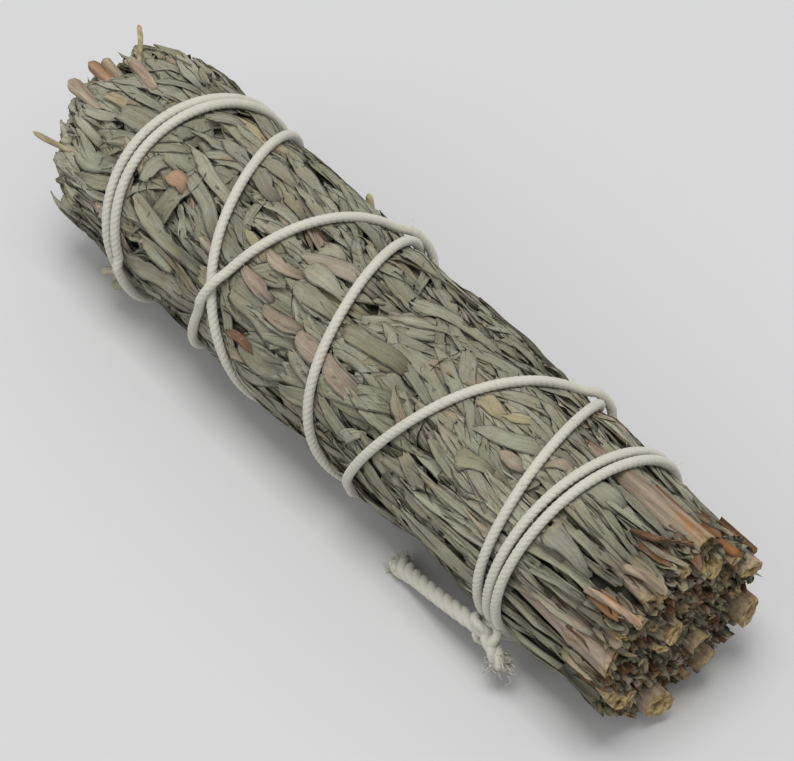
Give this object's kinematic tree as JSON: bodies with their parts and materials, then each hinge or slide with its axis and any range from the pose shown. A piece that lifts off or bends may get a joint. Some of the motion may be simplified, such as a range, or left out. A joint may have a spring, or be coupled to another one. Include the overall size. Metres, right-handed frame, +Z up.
{
  "type": "dried sage bunch",
  "caption": "Bunch of dried sage sprigs with toothed grey-green leaves and cut woody stems, wound round and tied with cotton twine, lying on its side.",
  "frame": {"origin": "middle of the small flat underneath on which the bunch rests, below the bunch's mid-length", "axes": "+X along the bunch towards the cut stems, +Z up, out of the surface that it lies on"},
  "size_m": [0.1081, 0.0324, 0.0278],
  "materials": {
    "dried_leaf": "matt, velvety dried leaf, pale grey-green with a few yellow, brown and pinkish leaves",
    "stem_bark": "dry matt bark, pinkish tan to orange-brown, with pale cut ends",
    "cotton_twine": "unbleached twisted cotton, soft and matt"
  },
  "bodies": {
    "root": {"sprig_01_leaves": "dried_leaf", "sprig_01_stem": "stem_bark", "sprig_02_leaves": "dried_leaf", "sprig_02_stem": "stem_bark", "sprig_03_leaves": "dried_leaf", "sprig_03_stem": "stem_bark", "sprig_04_leaves": "dried_leaf", "sprig_04_stem": "stem_bark", "sprig_05_leaves": "dried_leaf", "sprig_05_stem": "stem_bark", "sprig_06_leaves": "dried_leaf", "sprig_06_stem": "stem_bark", "sprig_07_leaves": "dried_leaf", "sprig_07_stem": "stem_bark", "sprig_08_leaves": "dried_leaf", "sprig_08_stem": "stem_bark", "sprig_09_leaves": "dried_leaf", "sprig_09_stem": "stem_bark", "sprig_10_leaves": "dried_leaf", "sprig_10_stem": "stem_bark", "sprig_11_leaves": "dried_leaf", "sprig_11_stem": "stem_bark", "sprig_12_leaves": "dried_leaf", "sprig_12_stem": "stem_bark", "twine": "cotton_twine"}
  },
  "joints": []
}
